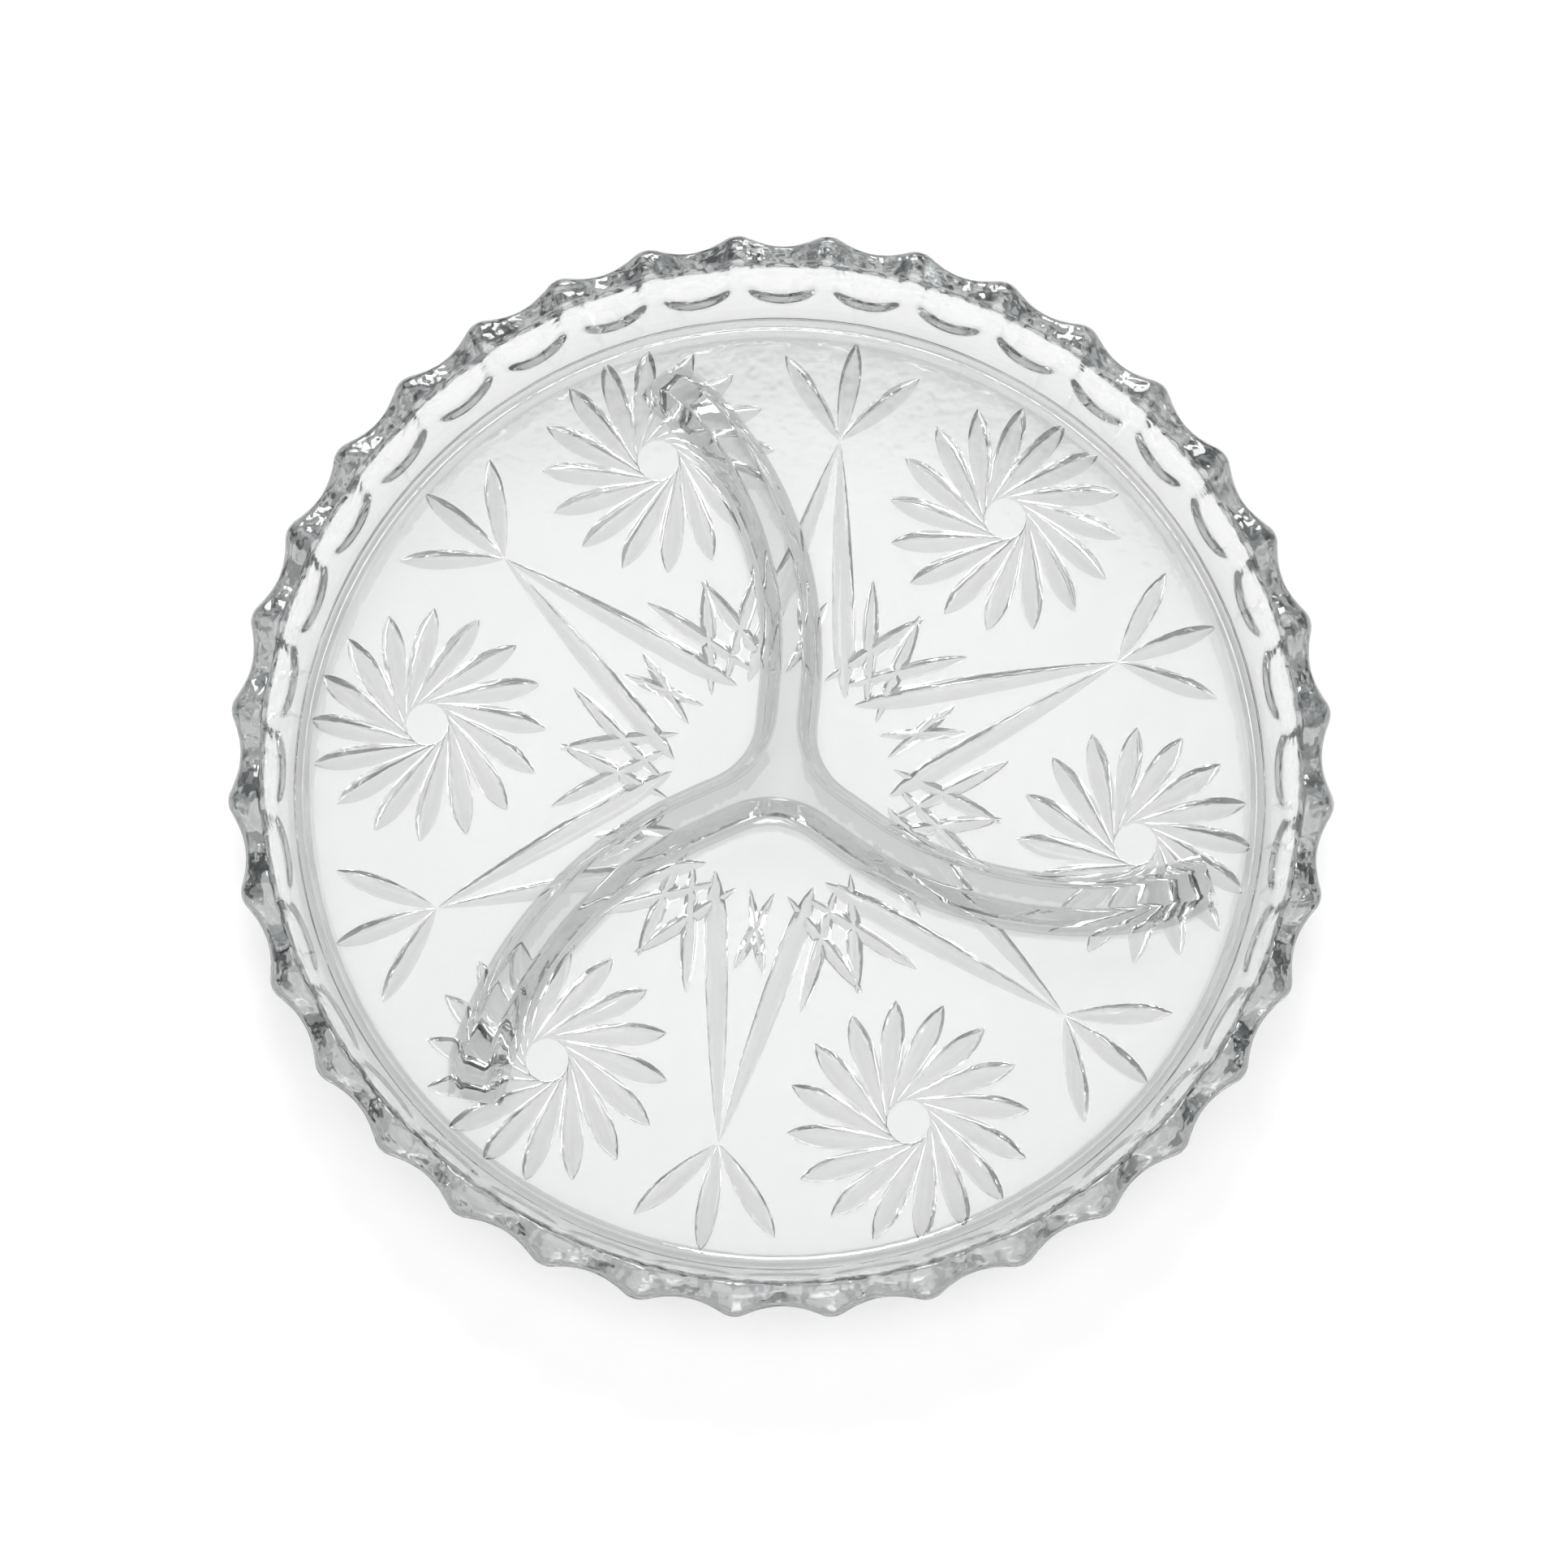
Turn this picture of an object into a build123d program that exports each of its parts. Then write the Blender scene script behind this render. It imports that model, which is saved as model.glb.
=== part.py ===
from build123d import *
import os
from math import acos, atan2, cos, degrees, hypot, radians, sin, sqrt, tan

# Three-compartment pressed-crystal relish dish, millimetres, +Z up.
# Origin: centre of the dish, on the table it stands on.
# The real dish is one casting.  Its moulded regions are separate solids that meet face to face:
#   foot_ring, floor_plate, wall_arc_1 to wall_arc_3, hub, divider_1 to divider_3

# --- overall sizes ---------------------------------------------------------------------------
rim_diameter = 240.0        # across opposite scallop tips
dish_height = 34.0          # table to scallop tips
foot_height = 1.2           # the cut underside is held this far off the table
floor_thickness = 5.3
floor_overhang = 8.0        # the rim stands out this far beyond the floor's upper edge

# --- wall ------------------------------------------------------------------------------------
wall_inner_flare = 7.0      # degrees from upright
wall_foot_width = 7.8       # from the end of the flat floor out to the floor plate's edge
cove_radius = 4.2           # rounded corner between floor and wall
rim_rounding = 1.5

# --- scallops and flutes ---------------------------------------------------------------------
scallop_count = 36
first_tip_angle = 90.0      # degrees from +X
flute_depth = 2.8
flute_radius = 20.0
flute_end_height = 12.0     # lowest point of each flute above the table
rim_dip = 1.2               # the rim between tips is lower by this much
seam_tip = 1                # the wall's first arc starts this many tips past the first one

# --- hub and dividers ------------------------------------------------------------------------
divider_count = 3
divider_height = 10.0       # above the floor
divider_top_width = 5.6
divider_foot_width = 14.0
divider_foot_flare = 3.0    # height of the hollow curve at the foot of each side
divider_side_draft = 12.0   # degrees from upright
divider_edge_rounding = 1.0
hub_reach = 12.7            # centre to the faces where the dividers take over
first_divider_angle = 84.5  # degrees from +X
divider_straight = 8.4      # straight run before the curve
divider_bend_radius = 85.0
divider_wall_gap = 5.0      # between a divider's end and the foot of the wall
divider_nose_length = 13.0  # the crest comes down to the floor over this length
nose_bulge_along = 0.7      # a point on the nose, as shares of its length and height
nose_bulge_up = 0.66
foot_curve_along = 0.5      # a point on the hollow foot curve, as shares of its width and height
foot_curve_up = 0.32
foot_curve_sag = 0.45

# --- foot ring -------------------------------------------------------------------------------
foot_ring_width = 1.6
foot_ring_inset = 0.3       # from the lower edge of the floor plate
floor_edge_taper = 1.2      # the floor plate is narrower by this much at its lower edge

# --- cut pattern on the underside ------------------------------------------------------------
motif_count = 6
first_pinwheel_angle = 50.4
pattern_margin = 3.0        # between the pattern and the floor plate's lower edge
pinwheel_radius = 27.0
pinwheel_blades = 16
pinwheel_button_radius = 5.0
pinwheel_phase = -3.3       # first blade's direction from outward, degrees
blade_width = 5.4
blade_depth = 2.1
blade_widest = 0.68         # share of the length where a blade is widest
fan_point_offset = 1.0      # fans point from slightly farther out than the pinwheels' centres
fan_blade_length = 24.0
fan_blade_width = 4.8
fan_blade_depth = 1.8
fan_blade_widest = 0.62
fan_spread = 41.0           # degrees between neighbouring fan blades
star_inner_radius = 24.4    # the crossed cuts start about this far from the centre
long_cut_width = 5.4
long_cut_depth = 2.0
long_cut_widest = 0.22
long_cut_offset = 1.2       # start, sideways from the middle line of a motif
star_cut_width = 3.8
star_cut_depth = 1.7
star_cut_widest = 0.6
steep_cut_start = 7.6       # sideways positions of the two ends of each crossed cut
steep_cut_end = 0.6
slant_cut_start = 4.2
slant_cut_end = 14.0
star_reach = 50.3           # the crossed cuts end this far out
cross_cut_width = 3.0
cross_cut_start = 2.8
cross_cut_end = 3.4
cross_cut_reach = 43.5
cut_overlap = 0.2           # cutters start this far below the underside

# --- derived sizes ---------------------------------------------------------------------------
rim_radius = rim_diameter / 2
floor_top = foot_height + floor_thickness
floor_radius = rim_radius - floor_overhang
cove_start_radius = floor_radius - wall_foot_width
pinwheel_centre_radius = floor_radius - floor_edge_taper - pattern_margin - pinwheel_radius
fan_centre_radius = pinwheel_centre_radius + fan_point_offset
wall_rise = dish_height - floor_top
outer_flare = degrees(atan2(floor_overhang, wall_rise))
pitch_angle = 360 / scallop_count
divider_crest = floor_top + divider_height
divider_end_radius = cove_start_radius - divider_wall_gap
divider_crest_end = divider_end_radius - divider_nose_length
crest_half = divider_top_width / 2
foot_half = divider_foot_width / 2
flare_half = crest_half + (divider_height - divider_foot_flare) * tan(radians(divider_side_draft))
foot_curve_point = (
    flare_half + (foot_half - flare_half) * foot_curve_along - foot_curve_sag,
    divider_foot_flare * foot_curve_up,
)


def turned(x, y, angle):
    """The point (x, y) turned about the dish centre by an angle in degrees."""
    c, s = cos(radians(angle)), sin(radians(angle))
    return (c * x - s * y, s * x + c * y)


def v_groove(start, end, width, depth, widest):
    """A straight V cut in the underside: kite outline, deepest where it is widest."""
    run = hypot(end[0] - start[0], end[1] - start[1])
    along = ((end[0] - start[0]) / run, (end[1] - start[1]) / run)
    mid = (start[0] + widest * run * along[0], start[1] + widest * run * along[1])
    low = foot_height - cut_overlap
    half = width / 2 * (1 + cut_overlap / depth)
    a = Vector(start[0], start[1], low)
    b = Vector(end[0], end[1], low)
    left = Vector(mid[0] - half * along[1], mid[1] + half * along[0], low)
    right = Vector(mid[0] + half * along[1], mid[1] - half * along[0], low)
    keel = Vector(mid[0], mid[1], foot_height + depth)
    rings = [(a, right, b, left), (a, left, keel), (left, b, keel), (b, right, keel), (right, a, keel)]
    return Solid(Shell([Face(Wire.make_polygon(ring, close=True)) for ring in rings]))


def pinwheel_grooves():
    """Sixteen blades round one button, each passing the button on the same side."""
    reach = sqrt(pinwheel_radius**2 - pinwheel_button_radius**2)
    grooves = []
    for k in range(pinwheel_blades):
        angle = 90 + pinwheel_phase + k * 360 / pinwheel_blades
        x0, y0 = turned(0, pinwheel_button_radius, angle)
        x1, y1 = turned(reach, pinwheel_button_radius, angle)
        start = (x0, y0 + pinwheel_centre_radius)
        end = (x1, y1 + pinwheel_centre_radius)
        grooves.append(v_groove(start, end, blade_width, blade_depth, blade_widest))
    return grooves


def fan_grooves():
    """Three blades spreading outward from the fan's point, midway between two pinwheels."""
    half_step = 180 / motif_count
    grooves = []
    for k in (-1, 0, 1):
        x1, y1 = turned(fan_blade_length, 0, 90 + k * fan_spread)
        start = turned(0, fan_centre_radius, half_step)
        end = turned(x1, y1 + fan_centre_radius, half_step)
        grooves.append(v_groove(start, end, fan_blade_width, fan_blade_depth, fan_blade_widest))
    return grooves


def star_grooves():
    """Crossed cuts of the central star, in mirrored pairs about the pinwheel direction."""
    half_step = 180 / motif_count
    fan_point = turned(0, fan_centre_radius, half_step)
    grooves = []
    for side in (-1, 1):
        long_start = (side * -long_cut_offset, star_inner_radius)
        long_end = (side * fan_point[0], fan_point[1])
        grooves.append(v_groove(long_start, long_end, long_cut_width, long_cut_depth, long_cut_widest))
        steep_start = (side * steep_cut_start, star_inner_radius)
        steep_end = (side * -steep_cut_end, star_reach)
        grooves.append(v_groove(steep_start, steep_end, star_cut_width, star_cut_depth, star_cut_widest))
        slant_start = (side * -slant_cut_start, star_inner_radius)
        slant_end = (side * slant_cut_end, star_reach)
        grooves.append(v_groove(slant_start, slant_end, star_cut_width, star_cut_depth, star_cut_widest))
        cross_start = turned(side * -cross_cut_start, star_inner_radius, half_step)
        cross_end = turned(side * cross_cut_end, cross_cut_reach, half_step)
        grooves.append(v_groove(cross_start, cross_end, cross_cut_width, star_cut_depth, star_cut_widest))
    return grooves


# --- floor plate: slightly tapered disc with the pattern cut in its underside ------------------
with BuildPart() as floor_plate:
    with BuildSketch(Plane.XY.offset(foot_height)):
        Circle(floor_radius - floor_edge_taper)
    with BuildSketch(Plane.XY.offset(floor_top)):
        Circle(floor_radius)
    loft()
    motif = pinwheel_grooves() + fan_grooves() + star_grooves()
    with PolarLocations(0, motif_count, start_angle=first_pinwheel_angle - 90):
        add(motif, mode=Mode.SUBTRACT)
floor_plate.part.label = "floor_plate"

# --- foot ring: the narrow flat rim the dish stands on -----------------------------------------
with BuildPart() as foot_ring:
    ring_outer = floor_radius - floor_edge_taper - foot_ring_inset
    with BuildSketch():
        Circle(ring_outer)
        Circle(ring_outer - foot_ring_width, mode=Mode.SUBTRACT)
    extrude(amount=foot_height)
foot_ring.part.label = "foot_ring"

# --- wall: turned ring, then thumb-shaped flutes outside and dips along the rim ----------------
with BuildPart() as wall_ring:
    with BuildSketch(Plane.XZ) as wall_section:
        with BuildLine():
            cove = JernArc((cove_start_radius, floor_top), (1, 0), cove_radius, 90 - wall_inner_flare)
            rise = dish_height - (cove @ 1).Y
            inner_top = ((cove @ 1).X + rise * tan(radians(wall_inner_flare)), dish_height)
            inner_face = Line(cove @ 1, inner_top)
            rim_top = Line(inner_top, (rim_radius, dish_height))
            outer_face = Line((rim_radius, dish_height), (floor_radius, floor_top))
            Line((floor_radius, floor_top), (cove_start_radius, floor_top))
        make_face()
        fillet(wall_section.vertices().group_by(Axis.Y)[-1], radius=rim_rounding)
    revolve(axis=Axis.Z)

    # flute cutter: a round bar lying along the outer face, with a ball end
    slope = radians(outer_flare)
    end_run = sqrt(2 * flute_depth / (1 / flute_radius + 1 / rim_radius))
    ball_z = flute_end_height + end_run * cos(slope)
    ball_r = floor_radius + (ball_z - floor_top) * tan(slope)
    stand_off = flute_radius - flute_depth
    ball = Vector(ball_r + stand_off * cos(slope), 0, ball_z - stand_off * sin(slope))
    with BuildPart(Plane(origin=ball, z_dir=(sin(slope), 0, cos(slope))), mode=Mode.PRIVATE) as flute:
        Sphere(flute_radius)
        Cylinder(flute_radius, dish_height, align=(Align.CENTER, Align.CENTER, Align.MIN))
    with PolarLocations(0, scallop_count, start_angle=first_tip_angle + pitch_angle / 2):
        add(flute.part, mode=Mode.SUBTRACT)

    # rim dip cutter: a large bar lying radially across the rim
    half_chord = rim_radius * sin(radians(pitch_angle / 2))
    dip_radius = (half_chord**2 + rim_dip**2) / (2 * rim_dip)
    dip_centre_z = dish_height - rim_dip + dip_radius
    with PolarLocations(rim_radius, scallop_count, start_angle=first_tip_angle + pitch_angle / 2):
        with Locations((0, 0, dip_centre_z)):
            Cylinder(dip_radius, 4 * floor_overhang, rotation=(0, 90, 0), mode=Mode.SUBTRACT)


def build_wall_arc(start_angle):
    """The stretch of wall behind one compartment, from one scallop tip to another."""
    end_angle = start_angle + 360 / divider_count
    with BuildPart() as arc:
        add(wall_ring.part)
        for facing in (start_angle + 90, end_angle - 90):
            normal = (cos(radians(facing)), sin(radians(facing)), 0)
            split(bisect_by=Plane(origin=(0, 0, 0), z_dir=normal), keep=Keep.TOP)
    return arc


first_seam = first_tip_angle + seam_tip * pitch_angle
wall_arc_1 = build_wall_arc(first_seam)
wall_arc_2 = build_wall_arc(first_seam + 360 / divider_count)
wall_arc_3 = build_wall_arc(first_seam + 2 * 360 / divider_count)
wall_arc_1.part.label = "wall_arc_1"
wall_arc_2.part.label = "wall_arc_2"
wall_arc_3.part.label = "wall_arc_3"


def half_section():
    """Right half of a divider's cross section: hollow foot, drafted side, level crest."""
    foot_curve = ThreePointArc(
        (foot_half, 0),
        foot_curve_point,
        (flare_half, divider_foot_flare),
    )
    side = Line(foot_curve @ 1, (crest_half, divider_height))
    return foot_curve, side


# --- hub: triangular block with three round hollows taken out of its corners -------------------
corner_distance = 2 * hub_reach
side_half = hub_reach * sqrt(3)
with BuildPart() as hub:
    with BuildSketch(Plane.XY.offset(floor_top)):
        RegularPolygon(corner_distance, 3, rotation=first_divider_angle + 60)
    extrude(amount=divider_height)
    with BuildPart(mode=Mode.PRIVATE) as corner_cutter:
        with BuildSketch(Plane.XZ):
            with BuildLine():
                curve = ThreePointArc(
                    (side_half - foot_half, 0),
                    (side_half - foot_curve_point[0], foot_curve_point[1]),
                    (side_half - flare_half, divider_foot_flare),
                )
                top_corner = Line(curve @ 1, (side_half - crest_half, divider_height)) @ 1
                Polyline(top_corner, (0, divider_height), (0, 0), curve @ 0)
            make_face()
        revolve(axis=Axis.Z)
    with PolarLocations(corner_distance, divider_count, start_angle=first_divider_angle + 60):
        with Locations((0, 0, floor_top)):
            add(corner_cutter.part, mode=Mode.SUBTRACT)
    crest_edges = hub.edges().group_by(Axis.Z)[-1].filter_by(GeomType.CIRCLE)
    fillet(crest_edges, radius=divider_edge_rounding)
hub.part.label = "hub"


def sweep_to(radius):
    """Degrees the curve turns until a divider's middle line is this far from the dish centre."""
    bend_start = hub_reach + divider_straight
    centre = hypot(bend_start, divider_bend_radius)
    tilt = atan2(bend_start, divider_bend_radius)
    share = (centre**2 + divider_bend_radius**2 - radius**2) / (2 * centre * divider_bend_radius)
    return degrees(acos(share) - tilt)


def build_divider(turn):
    """One curved divider, from the hub's face out to the foot of the wall."""
    start = turned(hub_reach, 0, turn)
    bend = turned(hub_reach + divider_straight, 0, turn)
    heading = (cos(radians(turn)), sin(radians(turn)), 0)
    across = (-heading[1], heading[0], 0)
    with BuildPart() as divider:
        with BuildLine(Plane.XY.offset(floor_top)) as path:
            run = Line(start, bend)
            JernArc(run @ 1, run % 1, divider_bend_radius, sweep_to(cove_start_radius))
        with BuildSketch(Plane(origin=(*start, floor_top), x_dir=across, z_dir=heading)) as section:
            with BuildLine():
                foot_curve, side = half_section()
                Line(side @ 1, (0, divider_height))
                Line((0, 0), foot_curve @ 0)
                mirror(about=Plane.YZ)
            make_face()
            fillet(section.vertices().group_by(Axis.Y)[-1], radius=divider_edge_rounding)
        sweep(path=path.line)
        # the crest rounds down to the floor before the wall begins
        with BuildSketch(Plane.XZ):
            with BuildLine():
                nose = ThreePointArc(
                    (divider_crest_end, divider_crest),
                    (divider_crest_end + nose_bulge_along * divider_nose_length,
                     floor_top + nose_bulge_up * divider_height),
                    (divider_end_radius, floor_top),
                )
                far = rim_radius
                above = divider_crest + divider_edge_rounding
                Polyline(nose @ 1, (far, floor_top), (far, above), (divider_crest_end, above), nose @ 0)
            make_face()
        revolve(axis=Axis.Z, mode=Mode.SUBTRACT)
    return divider


divider_1 = build_divider(first_divider_angle)
divider_2 = build_divider(first_divider_angle + 360 / divider_count)
divider_3 = build_divider(first_divider_angle + 2 * 360 / divider_count)
divider_1.part.label = "divider_1"
divider_2.part.label = "divider_2"
divider_3.part.label = "divider_3"

# --- one STEP file for each region ---------------------------------------------------------------
os.makedirs("parts", exist_ok=True)
export_step(foot_ring.part, "parts/foot_ring.step")
export_step(floor_plate.part, "parts/floor_plate.step")
export_step(wall_arc_1.part, "parts/wall_arc_1.step")
export_step(wall_arc_2.part, "parts/wall_arc_2.step")
export_step(wall_arc_3.part, "parts/wall_arc_3.step")
export_step(hub.part, "parts/hub.step")
export_step(divider_1.part, "parts/divider_1.step")
export_step(divider_2.part, "parts/divider_2.step")
export_step(divider_3.part, "parts/divider_3.step")
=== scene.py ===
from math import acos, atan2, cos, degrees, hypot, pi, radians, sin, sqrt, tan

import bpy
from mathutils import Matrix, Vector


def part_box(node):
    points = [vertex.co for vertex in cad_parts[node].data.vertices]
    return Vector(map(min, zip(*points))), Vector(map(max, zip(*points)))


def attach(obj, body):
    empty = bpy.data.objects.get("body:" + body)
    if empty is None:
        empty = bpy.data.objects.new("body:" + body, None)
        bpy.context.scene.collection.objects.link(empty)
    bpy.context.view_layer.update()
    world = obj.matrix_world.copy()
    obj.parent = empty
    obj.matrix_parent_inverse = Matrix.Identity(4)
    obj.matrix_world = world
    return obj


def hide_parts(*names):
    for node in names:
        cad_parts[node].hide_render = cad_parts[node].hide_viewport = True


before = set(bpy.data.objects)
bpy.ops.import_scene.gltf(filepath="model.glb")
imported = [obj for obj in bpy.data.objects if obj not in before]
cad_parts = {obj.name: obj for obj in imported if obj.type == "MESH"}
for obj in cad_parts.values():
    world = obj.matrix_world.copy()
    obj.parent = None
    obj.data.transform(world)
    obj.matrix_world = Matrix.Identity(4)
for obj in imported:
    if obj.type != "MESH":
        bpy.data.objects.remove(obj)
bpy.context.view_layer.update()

# %% [markdown]
# # A pressed-crystal relish dish
# The dish is one casting of clear lead crystal. A plunger presses a gob of hot glass into an iron
# mould: the plunger shapes the inside with its dividers, and the mould shapes the fluted outside and
# the cut pattern under the floor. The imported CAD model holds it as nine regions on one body. Clear
# glass shows every face inside it, so regions that only touch would look like nine blocks glued
# together. Here the same casting is made again as one closed skin that stands for all of them.

MM = 0.001
floor_low, floor_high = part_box("floor_plate")
foot_low, foot_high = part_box("foot_ring")
hub_low, hub_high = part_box("hub")
wall_high = max(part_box(f"wall_arc_{k}")[1][2] for k in (1, 2, 3))
underside = floor_low[2] / 3         # the foot is lower than in the CAD, where its step would show
floor_top = floor_high[2]
floor_radius = floor_high[0]
foot_radius = foot_high[0]
crest = hub_high[2]
rim_top = wall_high
rim_radius = 120.0 * MM
print("floor", round(underside / MM, 2), "to", round(floor_top / MM, 2), "mm, crest at", round(crest / MM, 2))

# %% [markdown]
# ## The wall, one scallop at a time
# The rim has 36 scallops. Each is a wide thumb-shaped flute pressed into the outside of the wall, and
# two flutes meet in a rounded point. One scallop is enough to model: its section is drawn as a chain
# of edges, spun through ten degrees, pushed in by a Displace modifier whose weights hold the shape of
# the flute, and then spun round the dish as copies. A Boolean with 36 bars would leave long slivers at
# the points, and in glass each sliver shows as a scratch.

# %% Helpers for working as by hand
def leave_edit():
    """Go back to object mode with nothing selected."""
    if bpy.context.object and bpy.context.object.mode != "OBJECT":
        bpy.ops.object.mode_set(mode="OBJECT")
    bpy.ops.object.select_all(action="DESELECT")


def take(*pieces):
    """Select these pieces, the last one active."""
    leave_edit()
    for piece in pieces:
        piece.select_set(True)
    bpy.context.view_layer.objects.active = pieces[-1]


def pick(piece, kind, test):
    """Enter edit mode with only the vertices, edges or polygons that pass the test selected."""
    take(piece)
    bpy.ops.object.mode_set(mode="EDIT")
    modes = {"vertices": "VERT", "edges": "EDGE", "polygons": "FACE"}
    bpy.ops.mesh.select_mode(type=modes[kind])
    bpy.ops.mesh.select_all(action="DESELECT")
    bpy.ops.object.mode_set(mode="OBJECT")
    for item in getattr(piece.data, kind):
        item.select = bool(test(item))
    bpy.ops.object.mode_set(mode="EDIT")


def settle(piece):
    """Put the piece's place into its mesh, so that its object sits at the origin."""
    take(piece)
    bpy.ops.object.transform_apply(location=True, rotation=True, scale=True)


def draw_chain(name, points):
    """Shrink a tiny plane to one vertex, then extrude that vertex from point to point."""
    leave_edit()
    bpy.ops.mesh.primitive_plane_add(size=MM, location=points[0])
    piece = bpy.context.object
    piece.name = name
    settle(piece)
    bpy.ops.object.mode_set(mode="EDIT")
    bpy.ops.mesh.select_all(action="SELECT")
    bpy.ops.mesh.merge(type="CENTER")
    for here, there in zip(points, points[1:]):
        step = [b - a for a, b in zip(here, there)]
        bpy.ops.mesh.extrude_vertices_move(TRANSFORM_OT_translate={"value": step})
    return piece


def arc_points(centre, radius, start, end, steps):
    """Points on an arc of a section, as (radius, height), angles in degrees."""
    angles = [radians(start + (end - start) * k / steps) for k in range(steps + 1)]
    return [(centre[0] + radius * cos(a), centre[1] + radius * sin(a)) for a in angles]


def spin(angle, steps, centre=(0, 0, 0), copies=False):
    """Spin the selection about an upright axis; degrees, counterclockwise seen from above.

    The operator itself counts the other way round, so the sign is turned here."""
    turn = -radians(angle)
    bpy.ops.mesh.spin(steps=steps, angle=turn, center=centre, axis=(0, 0, 1), dupli=copies)


# %% The wall's section
scallops = 36
columns = 24                       # spin steps in one scallop
pitch = 360 / scallops
inner_flare = 7.0                  # degrees from upright
cove = 4.2 * MM
cove_start = 104.2 * MM
rim_round = 2.0 * MM
outer_slope = (rim_radius - floor_radius) / (rim_top - floor_top)
outer_lean = degrees(atan2(rim_radius - floor_radius, rim_top - floor_top))
cove_end = (cove_start + cove * cos(radians(inner_flare)), floor_top + cove * (1 - sin(radians(inner_flare))))
inner_slope = tan(radians(inner_flare))


def outer_face(height):
    return floor_radius + (height - floor_top) * outer_slope


def inner_face(height):
    return cove_end[0] + (height - cove_end[1]) * inner_slope


def rim_corner(face, lean, side):
    """Centre of the rounding where a leaning face meets the level rim; side is -1 inside, 1 outside."""
    height = rim_top - rim_round
    return (face(height) - side * rim_round / cos(radians(lean)), height)


pattern_edge = 108.0 * MM
floor_edge = 103.4 * MM
foot_inner = foot_radius - 1.6 * MM
foot_flat = foot_inner + 0.9 * MM
section = []
foot_rows = 8
for k in range(foot_rows + 1):     # a soft step down from the underside to the foot
    share = k / foot_rows
    out = pattern_edge + (foot_flat - pattern_edge) * share
    section.append((out, underside * (1 - share**2 * (3 - 2 * share))))
base_centre = (foot_radius - 0.9 * MM, 2.6 * MM)
section += arc_points(base_centre, 2.6 * MM, -78, -outer_lean, 6)
section += [(outer_face(z) - 0.25 * MM, z) for z in (3.6 * MM, 5.0 * MM)]
outer_rows = 22
outer_corner = rim_corner(outer_face, outer_lean, 1)
inner_corner = rim_corner(inner_face, inner_flare, -1)
for k in range(outer_rows):
    z = floor_top + (outer_corner[1] - floor_top) * k / outer_rows
    section.append((outer_face(z), z))
section += arc_points(outer_corner, rim_round, -outer_lean, 90, 6)
rim_rows = 4
for k in range(1, rim_rows):
    share = k / rim_rows
    section.append((outer_corner[0] + (inner_corner[0] - outer_corner[0]) * share, rim_top))
section += arc_points(inner_corner, rim_round, 90, 180 - inner_flare, 6)
inner_rows = 9
for k in range(1, inner_rows):
    z = inner_corner[1] + (cove_end[1] - inner_corner[1]) * k / inner_rows
    section.append((inner_face(z), z))
cove_centre = (cove_start, floor_top + cove)
section += arc_points(cove_centre, cove, -inner_flare, -90, 10)
section.append((floor_edge, floor_top))

half = radians(pitch / 2)
scallop = draw_chain("scallop", [(r * cos(half), -r * sin(half), z) for r, z in section])
bpy.ops.mesh.select_all(action="SELECT")
spin(pitch, columns)
bpy.ops.object.mode_set(mode="OBJECT")
angles = [degrees(atan2(v.co.y, v.co.x)) for v in scallop.data.vertices]
print("scallop has", len(section), "rows and spans", round(min(angles), 2), "to", round(max(angles), 2))

# %% [markdown]
# The flute is the mark that a ball-ended bar would leave if it were laid along the wall. Its depth at
# a point only depends on how far the point is from the bar's middle line, so a formula gives it. The
# point between two flutes is rounded: the formula blends one flute into its neighbour, and eases from
# flute to plain wall at the lower end. The rim also dips slightly between two points, as the glass
# draws back while it cools.

# %% Flute and dip weights
flute_depth = 2.9 * MM
flute_bar = 17.8 * MM
flute_end = 12.0 * MM
point_blend = 3.0 * MM             # larger makes rounder points
soft_edge = 0.5 * MM
dip_depth = 1.3 * MM
dip_from = 23.0 * MM
bow = 0.5 / flute_bar + 0.5 / (118 * MM)
ball_height = flute_end + sqrt(flute_depth / bow) * cos(radians(outer_lean))


def flute_share(radius, angle, height):
    """Depth of the flute at this point, as a share of its full depth."""
    across = radius * abs(angle)
    neighbour = radius * radians(pitch) - across
    below = max(0.0, ball_height - height) / cos(radians(outer_lean))
    own = flute_depth - bow * (across**2 + below**2)
    other = flute_depth - bow * (neighbour**2 + below**2)
    blend = max(point_blend - abs(own - other), 0) / point_blend
    depth = max(own, other) + blend**2 * point_blend / 4
    depth = (depth + sqrt(depth**2 + soft_edge**2)) / 2
    body = (radius - inner_face(height)) / (outer_face(height) - inner_face(height))
    return depth / (2 * flute_depth) * min(1.0, max(0.0, body))


def dip_share(angle, height):
    """How far this point joins in the rim's dip: all at the rim, none low on the wall."""
    rise = min(1.0, max(0.0, (height - dip_from) / (rim_top - dip_from)))
    return rise**2 * (1 + cos(2 * angle / radians(pitch) * pi)) / 2


def weigh(piece, name, share):
    """Make a vertex group that holds a share between 0 and 1 for each vertex."""
    group = piece.vertex_groups.new(name=name)
    for vertex in piece.data.vertices:
        x, y, z = vertex.co
        group.add([vertex.index], share(hypot(x, y), atan2(y, x), z), "REPLACE")


def push(piece, group, axis, amount):
    """Move a vertex group along an axis with a Displace modifier, and apply it."""
    take(piece)
    move = piece.modifiers.new(group, "DISPLACE")
    move.vertex_group = group
    move.direction = axis
    move.mid_level = 0
    move.strength = amount
    bpy.ops.object.modifier_apply(modifier=move.name)


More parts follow.
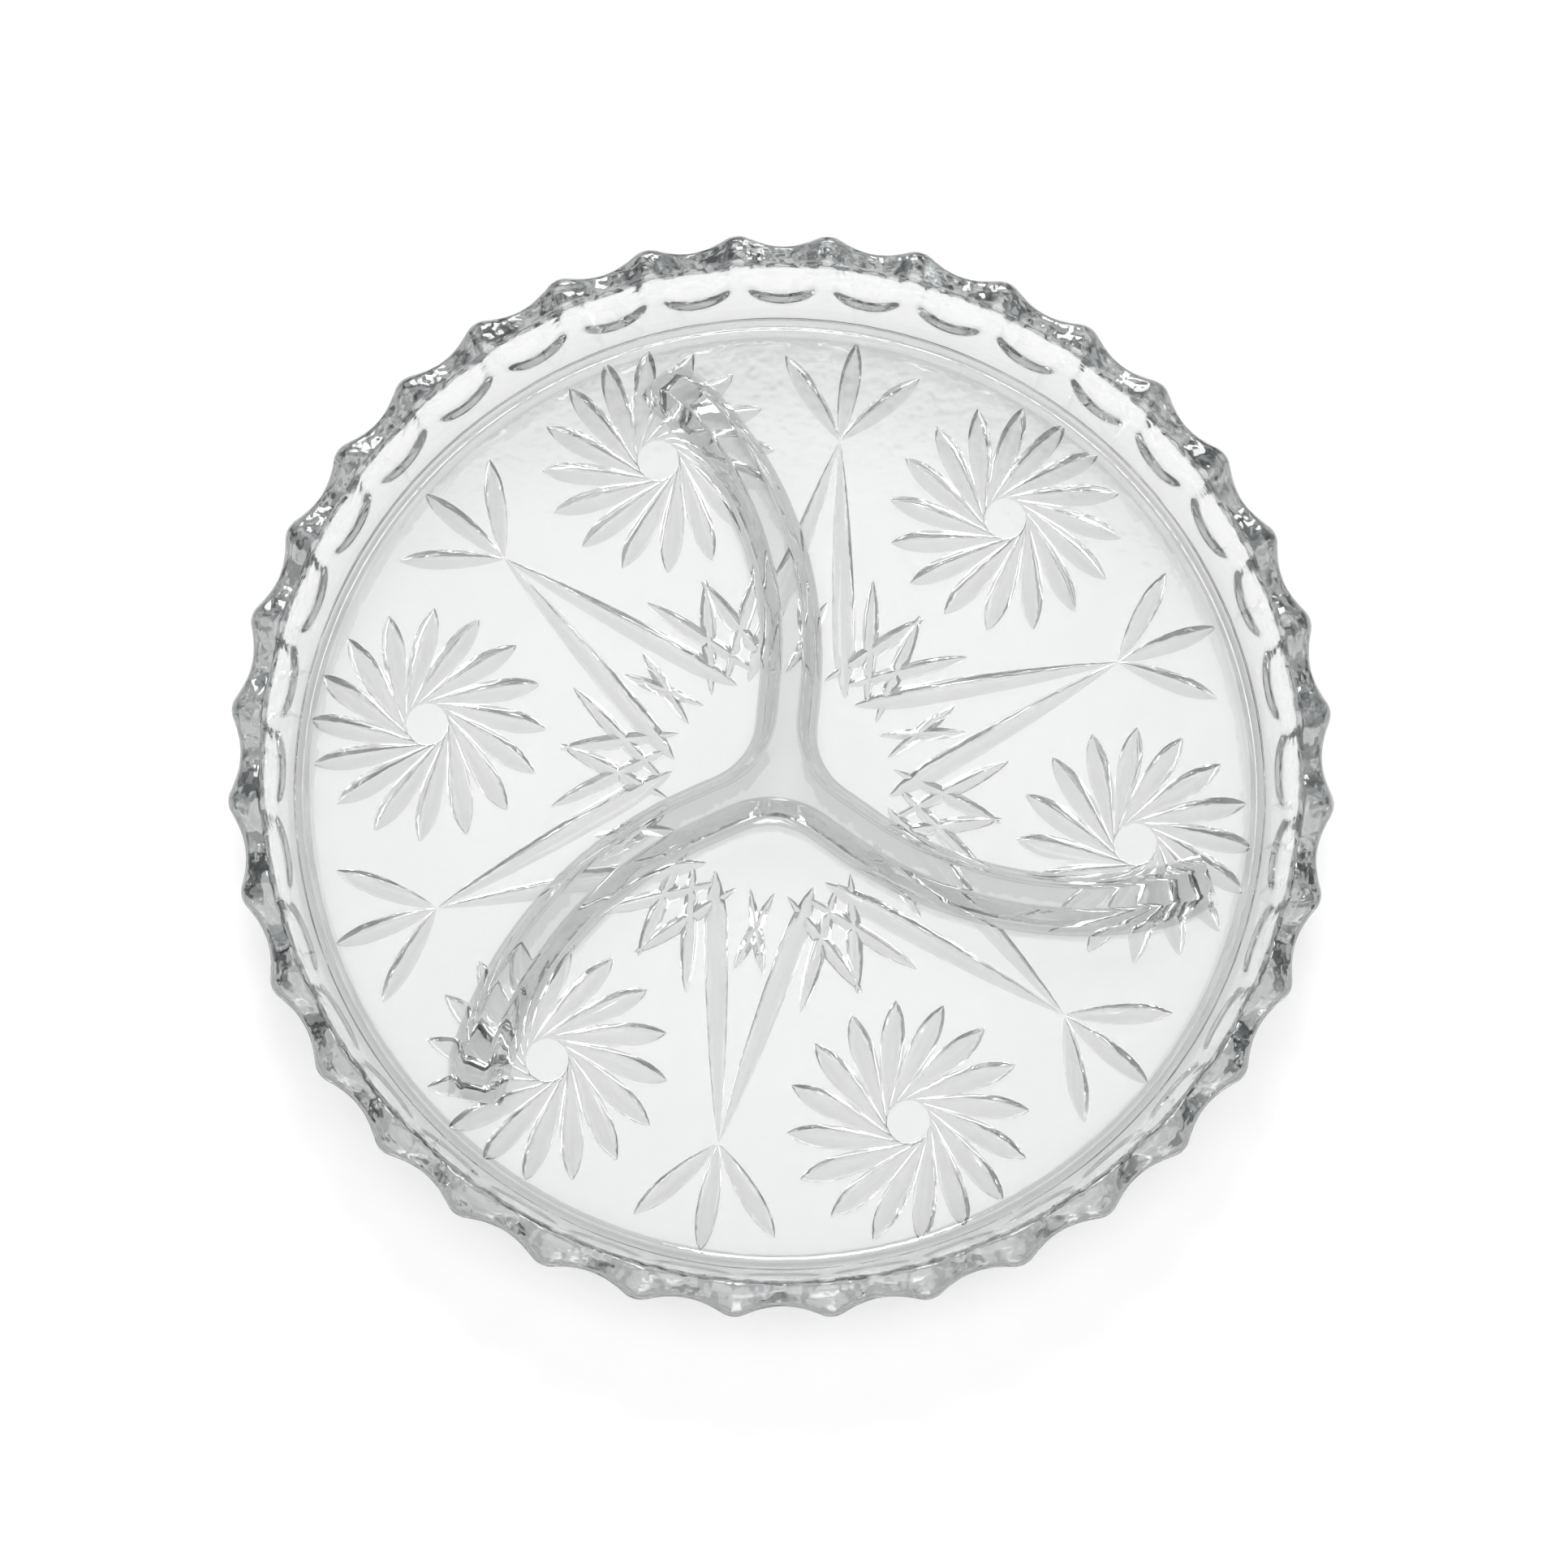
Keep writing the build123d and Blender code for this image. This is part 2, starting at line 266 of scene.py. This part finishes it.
weigh(scallop, "inward", lambda r, a, z: flute_share(r, a, z) * cos(a))
weigh(scallop, "left", lambda r, a, z: flute_share(r, a, z) * max(0, sin(a)))
weigh(scallop, "right", lambda r, a, z: flute_share(r, a, z) * max(0, -sin(a)))
weigh(scallop, "dip", lambda r, a, z: dip_share(a, z))
push(scallop, "inward", "X", -2 * flute_depth)
push(scallop, "left", "Y", -2 * flute_depth)
push(scallop, "right", "Y", 2 * flute_depth)
push(scallop, "dip", "Z", -dip_depth)

# %% Thirty-six scallops make the wall
take(scallop)
bpy.ops.object.mode_set(mode="EDIT")
bpy.ops.mesh.select_all(action="SELECT")
spin(360 - pitch, scallops - 1, copies=True)
bpy.ops.mesh.select_all(action="SELECT")
bpy.ops.mesh.remove_doubles(threshold=0.02 * MM)
leave_edit()
crystal = scallop
crystal.name = "crystal_dish"
print("wall:", len(crystal.data.vertices), "vertices,", len(crystal.data.polygons), "faces")

# %% [markdown]
# ## The dividers and the hub
# The three dividers leave the hub as straight arms, then each sweeps round one long arc to the foot of
# the wall, where its crest sinks to the floor. A divider's section has a hollow curve at each foot,
# drafted sides so that the plunger can lift out, and a level crest with softened edges. The section is
# drawn once and extruded and spun along its path. At the hub the same half section is spun round each
# of the three corners, so the sides of two arms run into each other without a seam.

# %% The divider's section
divider_height = crest - floor_top
crest_half = 2.8 * MM
foot_half = 7.0 * MM
foot_rise = 3.0 * MM
draft = 18.0
edge_round = 1.1 * MM
sink = 1.0 * MM                    # the section starts this far inside the floor
flare_half = crest_half + (divider_height - foot_rise) * tan(radians(draft))
foot_angles = [radians(12 + 78 * k / 6) for k in range(7)]
lean_in = sin(foot_angles[0])
lift = cos(foot_angles[0])
half_section = [(foot_half, -sink)]
for a in foot_angles:
    inward = (sin(a) - lean_in) / (1 - lean_in)
    half_section.append((foot_half - (foot_half - flare_half) * inward, foot_rise * (lift - cos(a)) / lift))
for k in range(1, 4):
    z = foot_rise + (divider_height - edge_round - foot_rise) * k / 4
    half_section.append((flare_half - (z - foot_rise) * tan(radians(draft)), z))
round_centre = (crest_half - edge_round * 0.72, divider_height - edge_round)
half_section += arc_points(round_centre, edge_round, draft, 90, 5)
full_section = half_section + [(-across, z) for across, z in reversed(half_section)]
print("divider section:", len(full_section), "points, foot", round(2 * foot_half / MM, 1), "mm wide")

# %% One divider
hub_reach = 12.7 * MM
first_divider = 84.5
straight_run = 8.4 * MM
bend_radius = 85.0 * MM
divider_end = 98.5 * MM
crest_end = 83.0 * MM


def on_arm(across, height):
    """A section point at the hub's face of a divider that points along +X."""
    return (hub_reach, across, floor_top + height)


def bend_to(radius):
    """Angle turned when the divider's middle line is this far from the dish's centre."""
    start = hub_reach + straight_run
    centre = hypot(start, bend_radius)
    tilt = atan2(start, bend_radius)
    return acos((centre**2 + bend_radius**2 - radius**2) / (2 * centre * bend_radius)) - tilt


divider = draw_chain("divider", [on_arm(*point) for point in full_section])
bpy.ops.mesh.select_all(action="SELECT")
bpy.ops.mesh.edge_face_add()
bpy.ops.mesh.delete(type="ONLY_FACE")
bpy.ops.mesh.select_all(action="SELECT")
for k in range(4):
    bpy.ops.mesh.extrude_region_move(TRANSFORM_OT_translate={"value": (straight_run / 4, 0, 0)})
bend_steps = 44
spin_centre = (hub_reach + straight_run, bend_radius, 0)
spin(degrees(bend_to(divider_end)), bend_steps, spin_centre)
bpy.ops.mesh.edge_face_add()
leave_edit()
spread = [hypot(v.co.x, v.co.y) for v in divider.data.vertices]
print("divider reaches", round(max(spread) / MM, 1), "mm from the centre")

# %% [markdown]
# The outer end of a divider fades into the floor. Each section past the end of the level crest is
# squashed towards the floor, a little at first and then all the way, as a rounded nose.

# %% The divider's nose
def nose_share(radius, angle, height):
    """How far a point sinks towards the floor: nothing along the level crest, all of it at the end."""
    if height < floor_top:
        return 0.0
    along = min(1.0, max(0.0, (radius - crest_end) / (divider_end - crest_end)))
    return along**2 * (height - floor_top) / divider_height


weigh(divider, "nose", nose_share)
push(divider, "nose", "Z", -divider_height * 0.97)

# %% The hub's three hollow sides
side_half = hub_reach * sqrt(3)
hub_sides = []
for k in range(3):
    side = draw_chain(f"hub_side_{k}", [on_arm(across, height) for across, height in half_section])
    bpy.ops.mesh.select_all(action="SELECT")
    spin(-60, 14, (hub_reach, side_half, 0))
    leave_edit()
    hub_sides.append(side)


def turn_copy(piece, angle, name):
    """A copy of a piece, with its own mesh, turned about the dish's centre."""
    copy = piece.copy()
    copy.data = piece.data.copy()
    copy.name = name
    bpy.context.scene.collection.objects.link(copy)
    copy.matrix_world = Matrix.Rotation(radians(angle), 4, "Z") @ copy.matrix_world
    settle(copy)
    return copy


parts = [turn_copy(divider, first_divider + 120 * k, f"divider_{k}") for k in range(3)]
parts += [turn_copy(side, first_divider + 120 * k, f"side_{k}") for k, side in enumerate(hub_sides)]
for spare in [divider] + hub_sides:
    bpy.data.objects.remove(spare)
take(*parts)
bpy.ops.object.join()
ridge = bpy.context.object
ridge.name = "ridge"
bpy.ops.object.mode_set(mode="EDIT")
bpy.ops.mesh.select_all(action="SELECT")
bpy.ops.mesh.remove_doubles(threshold=0.01 * MM)
leave_edit()


def loose_rim(piece):
    """Edges with only one face."""
    seen = {}
    for polygon in piece.data.polygons:
        for key in polygon.edge_keys:
            seen[key] = seen.get(key, 0) + 1
    return {key for key, count in seen.items() if count == 1}


print("hub openings before closing:", len(loose_rim(ridge)), "edges")


def close_level(piece, level):
    """Fill the ring of open edges that lies at one height."""
    rim = loose_rim(piece)
    spots = piece.data.vertices
    pick(piece, "edges", lambda edge: tuple(sorted(edge.vertices)) in rim and all(
        abs(spots[v].co.z - level) < 0.05 * MM for v in edge.vertices))
    bpy.ops.mesh.edge_face_add()
    leave_edit()


def face_outward(piece):
    pick(piece, "vertices", lambda vertex: True)
    bpy.ops.mesh.normals_make_consistent(inside=False)
    leave_edit()


close_level(ridge, floor_top - sink)
close_level(ridge, crest)
face_outward(ridge)
print("hub openings after closing:", len(loose_rim(ridge)))

# %% [markdown]
# ## Floor, then the dividers on it
# The wall is closed above and below with a flat face, which makes a plain dish, and the ridge of
# dividers is joined to it with an exact Boolean.

# %% Close the floor and add the ridge
close_level(crystal, underside)
close_level(crystal, floor_top)
face_outward(crystal)
print("plain dish: open edges", len(loose_rim(crystal)))


def combine(piece, other, operation, crossing=False):
    """Exact Boolean with another piece, which is used up; crossing allows parts that overlap."""
    take(piece)
    work = piece.modifiers.new("combine", "BOOLEAN")
    work.operation = operation
    work.solver = "EXACT"
    work.use_self = crossing
    work.object = other
    bpy.ops.object.modifier_apply(modifier=work.name)
    bpy.data.objects.remove(other)


combine(crystal, ridge, "UNION")
print("with dividers:", len(crystal.data.polygons), "faces, open edges", len(loose_rim(crystal)))

# %% [markdown]
# ## The cut pattern under the floor
# The pattern is pressed into the underside and seen through the glass. It is made of straight
# grooves: sixteen blades round a button in each of six pinwheels, three blades in each fan between
# them, and crossed cuts that make the central star. A groove is a boat: pointed at both ends, widest
# and deepest at one place, with a keel that is slightly round because a mould's ridge never is quite
# sharp. Each kind of boat is shaped once from a grid and copied.

# %% A boat for cutting grooves
boat_side = 0.3 * MM               # the upright side below a boat's slanted faces
boat_drop = 0.05 * MM              # a boat's edge lies this far below the underside, never in its plane


def make_boat(name, length, width, depth, widest):
    """A cutter lying along +X from the origin, its keel up."""
    leave_edit()
    columns, rows = 14, 4
    place = (length / 2, 0, 0)
    bpy.ops.mesh.primitive_grid_add(x_subdivisions=columns, y_subdivisions=rows, size=1, location=place)
    boat = bpy.context.object
    boat.name = name
    boat.scale = (length, width, 1)
    settle(boat)
    heights = {0: depth, 1: depth * 0.9, 2: 0.0}
    inner = width * 0.11           # the keel is this much rounded on each side
    blunt = 0.012                  # the tips keep this share of the width, so that no face is empty
    for row in (0, 1, 2):
        pick(boat, "vertices", lambda v: abs(abs(v.co.y) - row * width / rows) < width * 0.01)
        bpy.ops.transform.translate(value=(0, 0, heights[row]))
        if row == 1:
            squeeze = inner / (width / rows)
            bpy.ops.transform.resize(value=(1, squeeze, 1), center_override=(0, 0, 0))
        bpy.ops.object.mode_set(mode="OBJECT")
    for k in range(columns + 1):
        here = length * k / columns
        there = length * (1 - cos(pi * k / columns)) / 2
        off = there / length - widest
        off = off / widest if off < 0 else off / (1 - widest)
        plump = max(blunt, (1 - off * off) ** 0.8)
        pick(boat, "vertices", lambda v: v.index % (columns + 1) == k)
        bpy.ops.transform.resize(value=(1, plump, plump), center_override=(here, 0, 0))
        bpy.ops.transform.translate(value=(there - here, 0, 0))
        bpy.ops.object.mode_set(mode="OBJECT")
    rim = loose_rim(boat)
    pick(boat, "edges", lambda edge: tuple(sorted(edge.vertices)) in rim)
    bpy.ops.mesh.extrude_region_move(TRANSFORM_OT_translate={"value": (0, 0, -boat_side)})
    bpy.ops.mesh.edge_face_add()
    leave_edit()
    face_outward(boat)
    return boat


def turned(x, y, angle):
    """A point turned about the dish's centre, angle in degrees."""
    c, s = cos(radians(angle)), sin(radians(angle))
    return (c * x - s * y, s * x + c * y)


def lay(boat, start, end):
    """A copy of a boat from start to end, as points in millimetres on the underside."""
    copy = boat.copy()
    copy.data = boat.data.copy()
    bpy.context.scene.collection.objects.link(copy)
    heading = atan2(end[1] - start[1], end[0] - start[0])
    place = Matrix.Translation((start[0] * MM, start[1] * MM, underside - boat_drop))
    copy.matrix_world = place @ Matrix.Rotation(heading, 4, "Z")
    return copy


# %% One motif: pinwheel, half fans and star cuts, outward along +Y
motifs = 6
first_pinwheel = 50.4
pinwheel_at = 80.8
pinwheel_reach = 27.0
button = 5.0
blades = 16
phase = -3.3
fan_at = 81.8
fan_length = 24.0
fan_spread = 41.0
half_step = 180 / motifs
blade_run = sqrt(pinwheel_reach**2 - button**2)

blade = make_boat("blade", blade_run * MM, 5.4 * MM, 2.1 * MM, 0.68)
fan_blade = make_boat("fan_blade", fan_length * MM, 4.8 * MM, 1.8 * MM, 0.62)
fan_point = turned(0, fan_at, half_step)
long_start = (-1.2, 24.4)
long_run = hypot(fan_point[0] - long_start[0], fan_point[1] - long_start[1])
long_cut = make_boat("long_cut", long_run * MM, 5.4 * MM, 2.0 * MM, 0.22)
steep_run = hypot(7.6 + 0.6, 50.5 - 24.3)
steep_cut = make_boat("steep_cut", steep_run * MM, 3.8 * MM, 1.7 * MM, 0.6)
slant_run = hypot(14.0 + 4.2, 50.0 - 25.5)
slant_cut = make_boat("slant_cut", slant_run * MM, 3.8 * MM, 1.7 * MM, 0.6)
cross_run = hypot(3.4 + 2.8, 43.5 - 24.5)
cross_cut = make_boat("cross_cut", cross_run * MM, 3.0 * MM, 1.4 * MM, 0.6)

cuts = []
for k in range(blades):
    angle = 90 + phase + k * 360 / blades
    x0, y0 = turned(0, button, angle)
    x1, y1 = turned(blade_run, button, angle)
    cuts.append(lay(blade, (x0, y0 + pinwheel_at), (x1, y1 + pinwheel_at)))
for k in (-1, 0, 1):
    x1, y1 = turned(fan_length, 0, 90 + k * fan_spread)
    cuts.append(lay(fan_blade, fan_point, turned(x1, y1 + fan_at, half_step)))
for side in (-1, 1):
    cuts.append(lay(long_cut, (side * long_start[0], long_start[1]), (side * fan_point[0], fan_point[1])))
    cuts.append(lay(steep_cut, (side * 7.6, 24.3), (side * -0.6, 50.5)))
    cuts.append(lay(slant_cut, (side * -4.2, 25.5), (side * 14.0, 50.0)))
    cuts.append(lay(cross_cut, turned(side * -2.8, 24.5, half_step), turned(side * 3.4, 43.5, half_step)))
print("cuts in one motif:", len(cuts))

# %% [markdown]
# The 162 boats cross each other and some meet at one point. Cutting with all of them as they are
# leaves slits in the glass. So they are first joined into one skin, by a union with a tiny cube well
# below the dish, which has no other use. Points that then nearly coincide are welded, and after
# the cut the last slits are filled.

# %% Six motifs, cut in one go
take(*cuts)
bpy.ops.object.join()
motif = bpy.context.object
settle(motif)
for boat in (blade, fan_blade, long_cut, steep_cut, slant_cut, cross_cut):
    bpy.data.objects.remove(boat)
turns = [turn_copy(motif, first_pinwheel - 90 + k * 360 / motifs, f"motif_{k}") for k in range(motifs)]
bpy.data.objects.remove(motif)
take(*turns)
bpy.ops.object.join()
pattern = bpy.context.object
pattern.name = "pattern"
leave_edit()
bpy.ops.mesh.primitive_cube_add(size=MM, location=(0, 0, -50 * MM))
combine(pattern, bpy.context.object, "UNION", crossing=True)
pick(pattern, "vertices", lambda vertex: True)
bpy.ops.mesh.remove_doubles(threshold=0.002 * MM)
leave_edit()
print("pattern as one skin:", len(pattern.data.polygons), "faces")
combine(crystal, pattern, "DIFFERENCE")
pick(crystal, "vertices", lambda vertex: True)
bpy.ops.mesh.remove_doubles(threshold=0.001 * MM)
bpy.ops.mesh.dissolve_degenerate(threshold=0.0001 * MM)
leave_edit()
slits = loose_rim(crystal)
pick(crystal, "edges", lambda edge: tuple(sorted(edge.vertices)) in slits)
bpy.ops.mesh.fill_holes(sides=0)
leave_edit()
print("with the pattern:", len(crystal.data.polygons), "faces, open edges", len(loose_rim(crystal)))

# %% Smooth the drawn surfaces, keep the cut edges
take(crystal)
crystal.vertex_groups.clear()
bpy.ops.object.shade_smooth_by_angle(angle=radians(24))


def is_level(polygon, height):
    """A flat face of the floor or the underside."""
    return abs(polygon.normal.z) > 0.99999 and abs(polygon.center.z - height) < 0.02 * MM


level_edges = {}
for polygon in crystal.data.polygons:
    kind = is_level(polygon, floor_top) or is_level(polygon, underside)
    for key in polygon.edge_keys:
        level_edges.setdefault(key, set()).add(kind)
pick(crystal, "edges", lambda edge: len(level_edges[tuple(sorted(edge.vertices))]) == 2)
bpy.ops.mesh.mark_sharp()
leave_edit()
triangles = sum(len(polygon.vertices) - 2 for polygon in crystal.data.polygons)
print("crystal dish:", triangles, "triangles")

# %% [markdown]
# ## Lead crystal
# Lead crystal is heavier and brighter than window glass: its refractive index is about 1.55. Cast
# faces are fire-polished, so they are very smooth with a slow waviness, strongest near the rim, where
# the glass is reheated. The surface itself has no colour. The grey comes from absorption inside the
# glass, so a thick rim and the dividers look darker than a thin floor. Real crystal has only a faint
# grey tint. This absorption is much stronger and is painted shade and painted reflection: it stands for
# the dark things round a real studio table, which a real rim mirrors, and for the shadow on the table
# under the thick dividers.

# %% The material
def linear(code):
    """A hex colour as linear RGBA."""
    parts = [int(code[k:k + 2], 16) / 255 for k in (0, 2, 4)]
    return [c / 12.92 if c <= 0.04045 else ((c + 0.055) / 1.055) ** 2.4 for c in parts] + [1]


def node(tree, kind, links=None, **settings):
    """Add a node with its settings and inputs; an input is a value or another node's output."""
    new = tree.nodes.new(kind)
    for name, value in settings.items():
        setattr(new, name, value)
    for name, value in (links or {}).items():
        if isinstance(value, bpy.types.NodeSocket):
            tree.links.new(value, new.inputs[name])
        else:
            new.inputs[name].default_value = value
    return new


glass = bpy.data.materials.new("lead_crystal")
glass.use_nodes = True
tree = glass.node_tree
tree.nodes.clear()
calm_below, wavy_above = 22 * MM, 33 * MM
calm_share = 0.12
wave_depth = 0.5 * MM
where = node(tree, "ShaderNodeTexCoord")
place = node(tree, "ShaderNodeSeparateXYZ", {"Vector": where.outputs["Object"]})
near_rim = node(tree, "ShaderNodeMapRange", {
    "Value": place.outputs["Z"], "From Min": calm_below, "From Max": wavy_above,
    "To Min": calm_share, "To Max": 1.0},
    interpolation_type="SMOOTHSTEP")
slow = node(tree, "ShaderNodeTexNoise", {"Vector": where.outputs["Object"], "Scale": 320, "Detail": 1.0})
wave = node(tree, "ShaderNodeMath", {0: slow.outputs["Fac"], 1: near_rim.outputs["Result"]},
            operation="MULTIPLY")
ripple = node(tree, "ShaderNodeBump", {
    "Height": wave.outputs["Value"], "Strength": 1.0, "Distance": wave_depth})
gloss = node(tree, "ShaderNodeMapRange", {
    "Value": wave.outputs["Value"], "From Min": 0.05, "From Max": 0.6, "To Min": 0.0, "To Max": 0.12})
shader = node(tree, "ShaderNodeBsdfPrincipled", {
    "Base Color": (1, 1, 1, 1), "IOR": 1.55, "Transmission Weight": 1.0,
    "Roughness": gloss.outputs["Result"], "Normal": ripple.outputs["Normal"]})
# Painted shade and painted reflection: this absorption darkens thick glass far more than real crystal does.
# It stands in for the shadow under the dividers and for the dark room mirrored in the rim.
depth = node(tree, "ShaderNodeVolumeAbsorption", {"Color": linear("B4B8B8"), "Density": 25.0})
node(tree, "ShaderNodeOutputMaterial", {"Surface": shader.outputs["BSDF"], "Volume": depth.outputs["Volume"]})
crystal.data.materials.clear()
crystal.data.materials.append(glass)

# %% The piece stands for all nine regions
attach(crystal, "root")
regions = ["foot_ring", "floor_plate", "hub"]
regions += [f"wall_arc_{k}" for k in (1, 2, 3)] + [f"divider_{k}" for k in (1, 2, 3)]
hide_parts(*regions)

# %% [markdown]
# ## The studio
# A white table, one big soft box overhead, a dim room and one area light. The box is drawn into the
# world: a direction is inside it when its level part is short enough. The level floor mirrors the box
# and looks white, while a slanted cut mirrors the dim room and looks grey. A narrow bright strip
# round the room gives the cuts their white streaks.

# %% Table and lights
leave_edit()
bpy.ops.mesh.primitive_plane_add(size=6, location=(0, 0, -0.0002))
table = bpy.context.object
table.name = "table"
paper = bpy.data.materials.new("white_table")
paper.use_nodes = True
tree = paper.node_tree
tree.nodes.clear()
where = node(tree, "ShaderNodeTexCoord")
grain = node(tree, "ShaderNodeTexNoise", {"Vector": where.outputs["Object"], "Scale": 900, "Detail": 2})
tone = node(tree, "ShaderNodeMapRange", {"Value": grain.outputs["Fac"], "To Min": 0.60, "To Max": 0.61})
shader = node(tree, "ShaderNodeBsdfPrincipled", {
    "Base Color": tone.outputs["Result"], "Roughness": 0.9, "Specular IOR Level": 0.0,
    "Emission Color": (1, 1, 1, 1), "Emission Strength": 0.21})
node(tree, "ShaderNodeOutputMaterial", {"Surface": shader.outputs["BSDF"]})
table.data.materials.append(paper)

world = bpy.data.worlds.new("studio")
bpy.context.scene.world = world
world.use_nodes = True
tree = world.node_tree
tree.nodes.clear()
where = node(tree, "ShaderNodeTexCoord")
split = node(tree, "ShaderNodeSeparateXYZ", {"Vector": where.outputs["Generated"]})
box_shift = 0.06                   # the box hangs a little towards the viewer
box_inside, box_outside = 0.13, 0.20
box_light = 2.9
room_low, room_high = 0.40, 0.62
strip_height, strip_half = 0.57, 0.05
strip_light = 2.4
across = node(tree, "ShaderNodeMath", {0: split.outputs["X"], 1: split.outputs["X"]}, operation="MULTIPLY")
ahead = node(tree, "ShaderNodeMath", {0: split.outputs["Y"], 1: box_shift}, operation="ADD")
along = node(tree, "ShaderNodeMath", {0: ahead.outputs["Value"], 1: ahead.outputs["Value"]},
             operation="MULTIPLY")
off = node(tree, "ShaderNodeMath", {0: across.outputs["Value"], 1: along.outputs["Value"]}, operation="ADD")
soft_box = node(tree, "ShaderNodeMapRange", {
    "Value": off.outputs["Value"], "From Min": box_inside, "From Max": box_outside,
    "To Min": box_light, "To Max": 0.0},
    interpolation_type="SMOOTHSTEP")
above = node(tree, "ShaderNodeMapRange", {
    "Value": split.outputs["Z"], "From Min": -0.1, "From Max": 0.1, "To Min": 0.0, "To Max": 1.0})
lamp = node(tree, "ShaderNodeMath", {0: soft_box.outputs["Result"], 1: above.outputs["Result"]},
            operation="MULTIPLY")
room = node(tree, "ShaderNodeMapRange", {
    "Value": split.outputs["Z"], "From Min": 0.3, "From Max": 0.8, "To Min": room_low, "To Max": room_high},
    interpolation_type="SMOOTHSTEP")
ring = node(tree, "ShaderNodeMath", {0: split.outputs["Z"], 1: strip_height, 2: strip_half},
            operation="COMPARE")
strip = node(tree, "ShaderNodeMath", {
    0: ring.outputs["Value"], 1: strip_light, 2: lamp.outputs["Value"]}, operation="MULTIPLY_ADD")
glow = node(tree, "ShaderNodeMath", {0: room.outputs["Result"], 1: strip.outputs["Value"]}, operation="ADD")
sky = node(tree, "ShaderNodeBackground", {"Color": (1, 1, 1, 1), "Strength": glow.outputs["Value"]})
node(tree, "ShaderNodeOutputWorld", {"Surface": sky.outputs["Background"]})


def soft_light(name, azimuth, elevation, distance, size, power):
    """A square area light that looks at the dish from a direction."""
    a, e = radians(azimuth), radians(elevation)
    toward = Vector((cos(a) * cos(e), sin(a) * cos(e), sin(e)))
    data = bpy.data.lights.new(name, "AREA")
    data.size = size
    data.energy = power
    lamp = bpy.data.objects.new(name, data)
    lamp.location = toward * distance
    lamp.rotation_euler = toward.to_track_quat("Z", "Y").to_euler()
    bpy.context.scene.collection.objects.link(lamp)
    return lamp


soft_light("key", 92, 50, 1.6, 0.4, 9)

# %% Camera
def aim(azimuth, elevation, distance, target):
    """Place the camera on a sphere round the target, upright along +Y."""
    a, e = radians(azimuth), radians(elevation)
    away = Vector((sin(a) * cos(e), -cos(a) * cos(e), sin(e)))
    right = (-away).cross(Vector((0, 1, 0))).normalized()
    up = right.cross(-away)
    turn = Matrix((right, up, away)).transposed()
    data = bpy.data.cameras.new("camera")
    data.lens = 68.03
    data.sensor_width = 36
    camera = bpy.data.objects.new("camera", data)
    camera.matrix_world = Matrix.Translation(target + away * distance) @ turn.to_4x4()
    bpy.context.scene.collection.objects.link(camera)
    bpy.context.scene.camera = camera


aim(-5.0, 78.64, 669 * MM, Vector((0.8, 0.5, 0)) * MM)
bpy.context.scene.view_settings.view_transform = "Standard"
paths = bpy.context.scene.cycles
paths.max_bounces, paths.glossy_bounces, paths.transmission_bounces = 24, 16, 20
